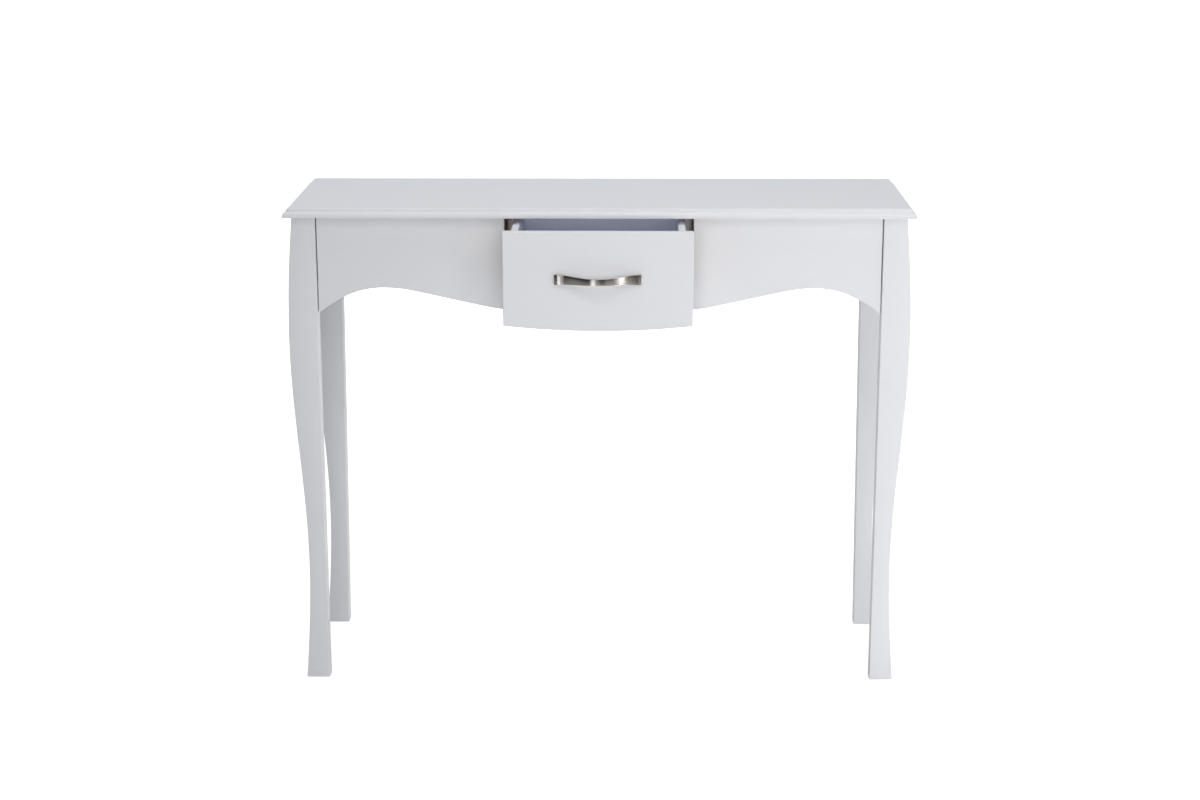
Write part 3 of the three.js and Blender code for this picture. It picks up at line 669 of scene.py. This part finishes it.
def screws_tree():
    """A domed cross-head screw on each point, its head along the point's own facing direction."""
    tree, size, leave = new_group(
        "GeometryNodeTree", "cross-head screws",
        [("Geometry", "Geometry", None), ("Head Radius", "Float", None), ("Head Height", "Float", None),
         ("Slot Width", "Float", None), ("Material", "Material", None)],
        [("Geometry", "Geometry")])
    ball = put(tree, "GeometryNodeMeshUVSphere", {"Segments": 20, "Rings": 12, "Radius": 1.0})
    flat = result("ShaderNodeCombineXYZ",
                  {"X": size["Head Radius"], "Y": size["Head Radius"], "Z": size["Head Height"]})
    dome = result("GeometryNodeTransform", {"Geometry": ball.outputs["Mesh"], "Scale": flat})
    reach = reckon("MULTIPLY", size["Head Radius"], 1.15)
    deep = reckon("MULTIPLY", size["Head Height"], 1.1)
    lift = result("ShaderNodeCombineXYZ", {"Z": size["Head Height"]})
    cross = put(tree, "GeometryNodeMeshBoolean", operation="UNION", solver="EXACT")
    for long_axis, short_axis in (("X", "Y"), ("Y", "X")):
        extent = result("ShaderNodeCombineXYZ",
                        {long_axis: reach, short_axis: size["Slot Width"], "Z": deep})
        arm = result("GeometryNodeMeshCube", {"Size": extent})
        arm = result("GeometryNodeTransform", {"Geometry": arm, "Translation": lift})
        tree.links.new(arm, cross.inputs["Mesh 2"])
    head = result("GeometryNodeMeshBoolean", {"Mesh 1": dome, "Mesh 2": cross.outputs["Mesh"]},
                  operation="DIFFERENCE", solver="EXACT")
    ahead = put(tree, "GeometryNodeInputNamedAttribute", {"Name": "facing"}, data_type="FLOAT_VECTOR")
    turn = result("FunctionNodeAlignRotationToVector", {"Vector": ahead.outputs["Attribute"]}, axis="Z")
    spin = put(tree, "FunctionNodeRandomValue", {"Min": 0.0, "Max": 1.5, "Seed": 4}, data_type="FLOAT")
    about = result("FunctionNodeAxisAngleToRotation", {"Axis": (0, 0, 1), "Angle": spin.outputs[1]})
    pose = result("FunctionNodeRotateRotation", {"Rotation": turn, "Rotate By": about},
                  rotation_space="LOCAL")
    many = result("GeometryNodeInstanceOnPoints",
                  {"Points": size["Geometry"], "Instance": head, "Rotation": pose})
    in_material(tree, many, size["Material"], leave)
    return tree


# ======== table top

def moulding_profile(thickness):
    """Moulded edge from underneath to the flat top, as (inset from the outermost line, height)."""
    step_inset = MOULDING_INSET - STEP_RADIUS
    ledge_height = thickness - STEP_DROP
    round_inset = step_inset - LEDGE_WIDTH
    ease = TOP_BOTTOM_EASE
    profile = [(ease, 0.0), (ease * 0.3, ease * 0.3), (0.0, ease)]
    profile += [(round_inset * (1 - math.cos(angle)), ledge_height - ROUND_DROP * (1 - math.sin(angle)))
                for angle in quarter(12)]
    profile += [(step_inset - LEDGE_EASE, ledge_height), (step_inset, ledge_height + LEDGE_EASE)]
    profile += [(MOULDING_INSET - STEP_RADIUS * math.cos(angle),
                 thickness - STEP_RADIUS * (1 - math.sin(angle))) for angle in quarter(6)]
    return profile


def moulded_top():
    low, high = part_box("table_top")
    thickness = high.z - low.z
    rings = []
    for inset, height in moulding_profile(thickness):
        back_ease = max(0.0, TOP_BOTTOM_EASE - min(height, thickness - height))
        end, front, back = high.x - inset, low.y + inset, high.y - back_ease
        ring = [(end, back, low.z + height), (-end, back, low.z + height)]
        for side, first in ((-1, math.pi), (1, 1.5 * math.pi)):
            for angle in quarter(4, first):
                ring.append((side * (end - TOP_CORNER_RADIUS) + TOP_CORNER_RADIUS * math.cos(angle),
                             front + TOP_CORNER_RADIUS * (1 + math.sin(angle)), low.z + height))
        rings.append(ring)
    piece("moulded_top", loft("moulded_top", rings), PAINT["x"], "frame", ["table_top"])


# ======== legs, glides and aprons

def waved_legs():
    tree = waved_leg_tree()
    for corner, row, side in CORNERS:
        name = f"waved_leg_{corner}"
        low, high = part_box(f"leg_{corner}")
        values = {"Foot Level": low.z, "Top Level": high.z, "Knee Drop": KNEE_DROP,
                  "Ankle Height": ANKLE_HEIGHT, "Top Width": LEG_TOP_WIDTH, "Knee Width": high.x - low.x,
                  "Ankle Width": ANKLE_WIDTH, "Foot Width": FOOT_WIDTH, "Thickness": high.y - low.y,
                  "Ease": LEG_EASE, "Inner Lean": BACK_LEG_LEAN if row > 0 else 0.0,
                  "Material": PAINT["z"].material}
        mesh = grown(name, tree, values)
        _, inner = reached(low.x, high.x, side)
        turn = Matrix.Rotation(0 if side > 0 else math.pi, 4, "Z")
        mesh.transform(Matrix.Translation((inner, (low.y + high.y) / 2, 0)) @ turn)
        piece(name, mesh, PAINT["z"], "frame", [f"leg_{corner}"], FOOT_EASE)


def foot_glides():
    for corner, _, _ in CORNERS:
        low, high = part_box(f"glide_{corner}")
        radius = (high.x - low.x) / 2
        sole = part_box(f"leg_{corner}")[0].z
        profile = [(share * radius, height) for share, height in GLIDE_SOLE]
        profile += [(radius, sole), (GLIDE_PIN_RADIUS, sole), (GLIDE_PIN_RADIUS, GLIDE_PIN_SHOULDER),
                    (GLIDE_PIN_TIP, high.z), (0, high.z)]
        turned(f"glide_{corner}", f"foot_glide_{corner}", profile, (0, 0, 1), GLIDE, "frame")


def front_apron_outline(side, low, high):
    """Lower edge from the leg: round to the crest, down a straight run, and flat into the drawer."""
    leg_x, opening_x = (high.x, low.x) if side > 0 else (-low.x, -high.x)
    leg_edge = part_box("leg_front_right")[0].x
    crest = (leg_edge - CREST_FROM_LEG, high.z - APRON_CREST_DROP)
    run_top = (crest[0] - CREST_ROUND, crest[1] - RAMP_SLOPE * CREST_ROUND / 2)
    tail_x = opening_x + RAMP_TAIL
    tail = (tail_x, run_top[1] - RAMP_SLOPE * (run_top[0] - tail_x))
    end = (opening_x, high.z - APRON_OPENING_DROP)
    tail_control = (opening_x + RAMP_TAIL / 2, tail[1] - RAMP_SLOPE * RAMP_TAIL / 2)
    outline = [(opening_x, high.z), end]
    outline += bent(end, tail_control, tail, steps=8) + [run_top]
    outline += bent(run_top, (crest[0] - CREST_ROUND / 2, crest[1]), crest)
    outline += bent(crest, (crest[0] + CREST_FROM_LEG / 2, crest[1]), (leg_x, low.z), steps=20)
    outline.append((leg_x, high.z))
    return [(side * x, z) for x, z in outline]


def aprons():
    for side_name, side in SIDES:
        node = f"apron_front_{side_name}"
        board_piece(node, f"arched_apron_{side_name}", front_apron_outline(side, *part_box(node)), "Y",
                    PAINT["x"], "frame", APRON_EASE)

        node = f"apron_side_{side_name}"
        low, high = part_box(node)
        centre, crest = (low.y + high.y) / 2, high.z - END_APRON_CREST_DROP
        outline = [(low.y, high.z), (low.y, low.z)]
        outline += bent((low.y, low.z), ((low.y + centre) / 2, crest), (centre, crest), steps=16)
        outline += bent((centre, crest), ((high.y + centre) / 2, crest), (high.y, low.z), steps=16)
        outline.append((high.y, high.z))
        board_piece(node, f"end_apron_{side_name}", outline, "X", PAINT["y"], "frame", APRON_EASE)

    plain_board("apron_back", "rear_apron", "Y", PAINT["x"], "frame", APRON_EASE)


def drawer_guides():
    for side_name, _ in SIDES:
        plain_board(f"drawer_guide_{side_name}", f"guide_board_{side_name}", "X",
                    GUIDE_PINE, "frame", BOARD_EASE)


# ======== drawer

def bowed_front():
    low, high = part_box("drawer_front")
    corner = low.z + DRAWER_BOW
    outline = [(low.x, high.z), (low.x, corner)]
    outline += bent((low.x, corner), (0, corner - 2 * DRAWER_BOW), (high.x, corner), steps=40)
    outline.append((high.x, high.z))
    board_piece("drawer_front", "bowed_front", outline, "Y", PAINT["x"], "drawer",
                DRAWER_FRONT_EASE)


def drawer_box():
    base_low, base_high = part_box("drawer_bottom")
    groove_low, groove_high = base_low.z - GROOVE_CLEARANCE, base_high.z + GROOVE_CLEARANCE
    for side_name, side in SIDES:
        low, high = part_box(f"drawer_side_{side_name}")
        outer, inner = reached(low.x, high.x, side)
        inward = -side * SIDE_ROUND
        shoulder = high.z - SIDE_ROUND
        groove_end = inner + side * GROOVE_DEPTH
        outline = [(outer, low.z), (outer, shoulder)]
        outline += bent((outer, shoulder), (outer, high.z), (outer + inward, high.z), steps=6)
        outline += [(inner - inward, high.z)]
        outline += bent((inner - inward, high.z), (inner, high.z), (inner, shoulder), steps=6)
        outline += [(inner, groove_high), (groove_end, groove_high), (groove_end, groove_low),
                    (inner, groove_low), (inner, low.z)]
        board_piece(f"drawer_side_{side_name}", f"drawer_cheek_{side_name}", outline, "Y",
                    FOIL, "drawer", CHEEK_EASE)
    plain_board("drawer_back", "drawer_rear", "Y", FOIL, "drawer", BOARD_EASE)
    plain_board("drawer_bottom", "drawer_floor", "Z", BASE, "drawer", THIN_BOARD_EASE)


def bow_handle():
    """Bow that runs flat over its feet and swells to the middle in an S, high at the feet, open between."""
    low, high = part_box("drawer_handle")
    end, wall, level = high.x, high.y, (low.z + high.z) / 2
    foot_inner = end - HANDLE_FOOT_WIDTH
    projection = high.y - low.y

    def ring(x, hollow=False):
        """Section across X: a flat back and a crowned face, both drawn in by a round at the very end."""
        swell = (1 + math.cos(math.pi * min(abs(x) / HANDLE_SWELL, 1) ** HANDLE_FULLNESS)) / 2
        late = max(0, abs(x) - HANDLE_SWELL) / (end - HANDLE_SWELL)
        tip = max(0, abs(x) - end + HANDLE_TIP) / HANDLE_TIP
        fall, inset = (size * (1 - math.sqrt(1 - min(share, 1) ** 2))
                       for size, share in ((HANDLE_END_ROUND, late), (HANDLE_TIP_INSET, tip)))
        far = HANDLE_FOOT_DEPTH + (projection - HANDLE_FOOT_DEPTH) * swell - fall
        near = far - HANDLE_THICKNESS if hollow else 0.0
        flare = (abs(x) / end) ** HANDLE_FLARE
        tall = HANDLE_WAIST_HEIGHT + (HANDLE_FOOT_HEIGHT - HANDLE_WAIST_HEIGHT) * flare
        half, middle = tall / 2 - inset, (near + far) / 2
        points = []
        for sign_y, sign_z, start in ((1, 1, 0), (-1, 1, 0.5), (-1, -1, 1), (1, -1, 1.5)):
            deep = HANDLE_EDGE if sign_y > 0 else HANDLE_CROWN
            wide = HANDLE_EDGE if sign_y > 0 else half * HANDLE_CROWN_SHARE
            y = wall - middle + sign_y * ((far - near) / 2 - deep)
            z = level + sign_z * (half - wide)
            points += [(x, y + deep * math.cos(angle), z + wide * math.sin(angle))
                       for angle in quarter(8, math.pi * start)]
        return points

    def foot(side):
        """From the rounded end to the foot's inner wall."""
        places = [HANDLE_SWELL + (end - HANDLE_SWELL) * math.sin(angle) for angle in reversed(quarter(16))]
        return [ring(side * x) for x in places + [foot_inner]]

    hollow_x, steps = foot_inner - HANDLE_FOOT_STEP, 96
    bow = [ring(hollow_x * (2 * i / steps - 1), hollow=True) for i in range(steps + 1)]
    mesh = loft("bow_handle", foot(-1) + bow + foot(1)[::-1])
    piece("bow_handle", mesh, NICKEL, "drawer", ["drawer_handle"])


# ======== blocks, bolts and clips

# (radius, depth[, shape]) of the bolts' sockets
HEX_SOCKET = ((0.0027, 0), (0.0025, 0.0003, six_flats), (0.0025, 0.0024, six_flats), (0, 0.0028))

# wood screws as (place, way the head faces); each list's order decides how its heads are turned
CLIP_SCREWS, BLOCK_SCREWS, CHANNEL_SCREWS, DRAWER_SCREWS = [], [], [], []


def corner_blocks():
    """Pine blocks behind the legs, stepped round leg and apron, each with its socket-head bolt."""
    for corner, row, side in CORNERS:
        low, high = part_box(f"corner_block_{corner}")
        leg_low, leg_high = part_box(f"leg_{corner}")
        apron_low, apron_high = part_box("apron_front_" + corner.split("_")[1])
        outer, inner = reached(low.x, high.x, side)
        wall, free = reached(low.y, high.y, row)
        _, leg_wall = reached(leg_low.y, leg_high.y, row)
        step, _ = reached(apron_low.x, apron_high.x, side)
        outline = [(outer, leg_wall), (step, leg_wall), (step, wall), (inner, wall),
                   (inner, free + row * BLOCK_CHAMFER), (inner + side * BLOCK_CHAMFER, free), (outer, free)]
        board_piece(f"corner_block_{corner}", f"eased_block_{corner}", outline, "Z",
                    BLOCK_PINE, "frame", BLOCK_EASE)
        socket_bolt(corner, row)
        for share in BLOCK_SCREW_SHARES:
            spot = (inner, wall - row * BLOCK_SCREW_INSET, low.lerp(high, share).z)
            BLOCK_SCREWS.append((spot, (-side, 0, 0)))


def socket_bolt(corner, row):
    low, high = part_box(f"leg_bolt_{corner}")
    radius, top = (high.x - low.x) / 2, high.y - low.y
    profile = [(0, 0), (BOLT_RADIUS * BOLT_TIP[0], 0), (BOLT_RADIUS, BOLT_TIP[1])]
    profile += under_head(BOLT_RADIUS, top - BOLT_HEAD, radius)
    profile += sunk(top, [*over_rim(radius, BOLT_RIM), *HEX_SOCKET])
    turned(f"leg_bolt_{corner}", f"socket_bolt_{corner}", profile, (0, -row, 0), ZINC, "frame")


def bent_clips():
    """Steel angles that hold the top: one leg under it, one on an apron."""
    places = [(f"top_clip_{corner}", 1, row) for corner, row, _ in CORNERS]
    places += [(f"top_clip_end_{side_name}", 0, side) for side_name, side in SIDES]
    for node, way, sign in places:
        low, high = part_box(node)
        wall, free = reached(low[way], high[way], sign)
        inside, under = wall - sign * CLIP_SHEET, high.z - CLIP_SHEET
        outline = rounded(
            [(wall, high.z), (free, high.z), (free, under), (inside, under), (inside, low.z), (wall, low.z)],
            [SHEET_BEND + CLIP_SHEET, 0, 0, SHEET_BEND, 0, 0])
        board_piece(node, f"bent_{node}", outline, "YX"[way], ZINC, "frame", SHEET_EASE)
        above, beside, ahead = (low + high) / 2, (low + high) / 2, Vector()
        above[way] -= sign * CLIP_SCREW_SHIFT
        above.z = under
        beside[way] = inside
        beside.z -= CLIP_SCREW_SHIFT
        ahead[way] = -sign
        CLIP_SCREWS.extend([(above, (0, 0, -1)), (beside, ahead)])


# ======== runners and rollers

def folded_runners():
    """Powder-coated sheet channels on the guides, and the sheets under and beside the drawer sides."""
    outer, inner = SHEET_BEND + RUNNER_SHEET, SHEET_BEND
    for side_name, side in SIDES:
        node = f"cabinet_runner_{side_name}"
        low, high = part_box(node)
        wall, lip = reached(low.x, high.x, side)
        web, floor, roof = wall - side * RUNNER_SHEET, low.z + RUNNER_SHEET, high.z - RUNNER_SHEET
        outline = rounded(
            [(wall, low.z), (wall, high.z), (lip, high.z), (lip, roof), (web, roof), (web, floor),
             (lip, floor), (lip, low.z)],
            [outer, outer, 0, 0, inner, inner, 0, 0])
        board_piece(node, f"folded_channel_{side_name}", outline, "Y", STEEL, "frame", SHEET_EASE)
        for share in CHANNEL_SCREW_SHARES:
            spot = (web, low.lerp(high, share).y, (low.z + high.z) / 2)
            CHANNEL_SCREWS.append((spot, (-side, 0, 0)))

        node = f"drawer_runner_{side_name}"
        low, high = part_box(node)
        lip, flange = reached(low.x, high.x, side)
        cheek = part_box(f"drawer_side_{side_name}")[1 if side > 0 else 0].x
        web, floor, roof = cheek + side * RUNNER_SHEET, low.z + RUNNER_SHEET, high.z - RUNNER_SHEET
        outline = rounded(
            [(flange, low.z), (web, low.z), (web, roof), (lip, roof), (lip, high.z), (cheek, high.z),
             (cheek, floor), (flange, floor)],
            [0, outer, inner, 0, 0, outer, 0, 0])
        board_piece(node, f"folded_track_{side_name}", outline, "Y", STEEL, "drawer", SHEET_EASE)
        for share in TRACK_SCREW_SHARES:
            spot = ((flange + cheek) / 2, low.lerp(high, share).y, low.z)
            DRAWER_SCREWS.append((spot, (0, 0, -1)))


def rollers_and_pins():
    """Moulded rollers, recessed on both faces, and the riveted pins they turn on."""
    for row_name, inward, pin_body in (("front", -1, "frame"), ("rear", 1, "drawer")):
        for side_name, side in SIDES:
            node = f"{row_name}_roller_{side_name}"
            low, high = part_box(node)
            radius, width = (high.z - low.z) / 2, high.x - low.x
            face = [*ROLLER_RECESS, *over_rim(radius, ROLLER_RIM)]
            profile = face + [(across, width - depth) for across, depth in reversed(face)] + [face[0]]
            turned(node, f"moulded_{node}", profile, (1, 0, 0), NYLON, f"roller_{row_name}_{side_name}")

            node = f"{row_name}_roller_pin_{side_name}"
            low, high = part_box(node)
            length, rim = high.x - low.x, (high.z - low.z) / 2
            profile = [(0, 0), (PIN_RADIUS, 0)] + under_head(PIN_RADIUS, length - RIVET_HEAD, rim)
            profile += sunk(length, [*over_rim(rim, RIVET_RIM), *RIVET_DIMPLE])
            way = (side * inward, 0, 0)
            turned(node, f"riveted_{row_name}_pin_{side_name}", profile, way, ZINC, pin_body)


# ======== screws

CROSS_RECESS = ((0.0021, 0), (0.0019, 0, cross_way), (0.0016, 0.0012, cross_way), (0, 0.0016))


def pan_screws():
    """Cross-head machine screws of the handle, their heads inside the drawer."""
    for side_name, _ in SIDES:
        node = f"handle_screw_{side_name}"
        low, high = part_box(node)
        length, rim = high.y - low.y, (high.x - low.x) / 2
        start = length - PAN_HEAD
        profile = [(0, 0), (PAN_SHANK * PAN_TIP[0], 0), (PAN_SHANK, PAN_TIP[1])]
        profile += under_head(PAN_SHANK, start, rim)
        profile += [(rim * share, start + height) for share, height in PAN_CROWN]
        profile += sunk(length, CROSS_RECESS)
        turned(node, f"pan_screw_{side_name}", profile, (0, 1, 0), ZINC, "drawer")


def bottom_screw_places():
    """Screws that hold the drawer's bottom under its back."""
    low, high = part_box("drawer_back")
    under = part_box("drawer_bottom")[0].z
    for share in BOTTOM_SCREW_SHARES:
        DRAWER_SCREWS.append(((share * high.x, (low.y + high.y) / 2, under), (0, 0, -1)))


def wood_screws(name, tree, places, body, head_height):
    """One piece with a screw head at each place, facing its own way."""
    holder = bpy.data.meshes.new(name)
    holder.from_pydata([spot for spot, _ in places], [], [])
    ways = holder.attributes.new("facing", "FLOAT_VECTOR", "POINT")
    ways.data.foreach_set("vector", [value for _, way in places for value in way])
    values = {"Head Radius": SCREW_HEAD_RADIUS, "Head Height": head_height, "Slot Width": SCREW_SLOT,
              "Material": ZINC.material}
    piece(name, grown(name, tree, values, holder), ZINC, body)


def all_wood_screws():
    tree = screws_tree()
    wood_screws("frame_screws", tree, CLIP_SCREWS + BLOCK_SCREWS, "frame", SCREW_HEAD_HEIGHT)
    wood_screws("channel_screws", tree, CHANNEL_SCREWS, "frame", FLAT_HEAD_HEIGHT)
    wood_screws("drawer_screws", tree, DRAWER_SCREWS, "drawer", SCREW_HEAD_HEIGHT)


# ======== studio

ROOM_LIGHT = 0.24
ROOM_LIGHT_COLOUR = (0.97, 0.985, 1.0)
FLOOR_REACH = 30

# changes of brightness over a distance or a direction, as (from, to, brightness at the one, at the other)
FLOOR_GLOW = (1.0, 2.4, 0.68, 1)
FLOOR_IN_FRONT = (-3.6, -0.8, 0.10, 0.35)
FLOOR_BEHIND = (-0.4, 0.3, 0, 1)
ROOM_IN_MIRRORS = (-0.15, 0.25, 0.06, 1)

# bright boards that only mirrors show, as (start, end, brightness), in degrees from straight ahead
MIRRORED_BOARDS = ((-14, -5, 1.6), (16, 46, 0.2), (50, 58, 0.35), (61, 68, 4.0))
BOARD_BLUR = math.radians(2)


def within(value, low, high, soft):
    """1 between two limits, falling to 0 over a soft margin outside them."""
    return reckon("MULTIPLY", spread(value, low - soft, low, 0, 1), spread(value, high, high + soft, 1, 0))


def ray_kinds(tree):
    """Shares for rays from the camera, also through glass, and for rays off polished metal."""
    rays = put(tree, "ShaderNodeLightPath").outputs
    return reckon("MAXIMUM", rays["Is Camera Ray"], rays["Is Transmission Ray"]), rays["Is Glossy Ray"]


def mixed(share, first, second):
    """Mixes two shaders by a share."""
    return result("ShaderNodeMixShader", {0: share, 1: first, 2: second})


def floor_finish():
    """White floor that keeps the desk's shadow; in mirrors it is dim in front, but for the bright boards."""
    material = bpy.data.materials.new("studio_floor")
    material.use_nodes = True
    tree = material.node_tree
    shader = tree.nodes["Principled BSDF"]
    shader.inputs["Base Color"].default_value = (0.8, 0.8, 0.8, 1)
    shader.inputs["Roughness"].default_value = 0.9
    shader.inputs["Specular IOR Level"].default_value = 0.1
    place = put(tree, "ShaderNodeTexCoord").outputs["Object"]
    distance = after("ShaderNodeVectorMath", {0: place}, operation="LENGTH").outputs["Value"]
    direct, glossy = ray_kinds(tree)
    glow = reckon("MULTIPLY", direct, spread(distance, *FLOOR_GLOW))
    added = result("ShaderNodeEmission", {"Strength": glow})
    seen = result("ShaderNodeAddShader", {0: shader.outputs[0], 1: added})
    across, along, _ = apart(place)
    plain = reckon("MAXIMUM", spread(along, *FLOOR_IN_FRONT), spread(along, *FLOOR_BEHIND))
    mirrored = result("ShaderNodeEmission", {"Strength": mirrored_boards(across, along, plain)})
    tree.links.new(mixed(glossy, seen, mirrored), tree.nodes["Material Output"].inputs["Surface"])
    return material


def mirrored_boards(across, along, strength):
    """Adds the bright boards that stand before the desk, each between two bearings, to a strength."""
    bearing = reckon("ARCTAN2", across, reckon("MULTIPLY", along, -1))
    for start, end, bright in MIRRORED_BOARDS:
        there = within(bearing, math.radians(start), math.radians(end), BOARD_BLUR)
        strength = reckon("MULTIPLY_ADD", there, bright, strength)
    return strength


def studio_floor():
    mesh = bpy.data.meshes.new("studio_floor")
    outline = rectangle(-FLOOR_REACH, FLOOR_REACH, -FLOOR_REACH, FLOOR_REACH)
    mesh.from_pydata([(x, y, 0) for x, y in outline], [], [(0, 1, 2, 3)])
    mesh.materials.append(floor_finish())
    floor = placed("studio_floor", mesh)


def studio_world():
    """White all round for the camera; soft daylight on the desk; a darker room before it in reflections."""
    world = bpy.data.worlds.new("studio")
    scene.world = world
    world.use_nodes = True
    tree = world.node_tree
    sky = tree.nodes["Background"]
    sky.inputs["Color"].default_value = (*ROOM_LIGHT_COLOUR, 1)
    sky.inputs["Strength"].default_value = ROOM_LIGHT
    direct, glossy = ray_kinds(tree)
    across, along, _ = apart(put(tree, "ShaderNodeTexCoord").outputs["Generated"])
    room = mirrored_boards(across, along, spread(along, *ROOM_IN_MIRRORS))
    mirrored = result("ShaderNodeBackground", {"Strength": room})
    white = put(tree, "ShaderNodeBackground", {"Color": (1, 1, 1, 1), "Strength": 1.0}).outputs[0]
    whole = mixed(direct, mixed(glossy, sky.outputs[0], mirrored), white)
    tree.links.new(whole, tree.nodes["World Output"].inputs["Surface"])


def softbox(name, place, target, width, height, power, colour=(1, 1, 1), beam=180):
    """A rectangular lamp that metal doesn't mirror; a beam under 180 degrees stands for a grid on it."""
    light = bpy.data.lights.new(name, "AREA")
    light.spread = math.radians(beam)
    light.shape = "RECTANGLE"
    light.size, light.size_y = width, height
    light.energy = power
    light.color = colour
    lamp = placed(name, light)
    lamp.visible_glossy = False
    lamp.location = place
    lamp.rotation_euler = (Vector(target) - Vector(place)).to_track_quat("-Z", "Y").to_euler()


# ======== the desk

place_camera()
moulded_top()
waved_legs()
foot_glides()
aprons()
drawer_guides()
bowed_front()
drawer_box()
bow_handle()
corner_blocks()
bent_clips()
folded_runners()
rollers_and_pins()
pan_screws()
bottom_screw_places()
all_wood_screws()
studio_floor()
studio_world()
softbox("front_high", (0.3, -2.4, 3.2), (0.1, 0, 0.6), 1.6, 1.0, 17)
softbox("front_level", (0.1, -3.3, 1.45), (0, 0, 0.7), 1.4, 0.5, 3)
softbox("front_gridded", (0.4, -3.4, 0.95), (1.2, 0, 0.42), 2.0, 0.9, 10.2, beam=80)
softbox("front_right", (1.7, -3.0, 2.4), (0, 0, 0.6), 0.8, 0.8, 13)
softbox("side_low", (1.9, 0.1, 0.42), (0, 0, 0.42), 1.4, 0.7, 12)
softbox("overhead", (0, 0.2, 3.0), (0, 0, 0.7), 2.5, 2.0, 27, (0.92, 0.96, 1.0))
softbox("back_low", (0, 3.2, 0.5), (0, 0, 0.45), 1.6, 0.8, 30)
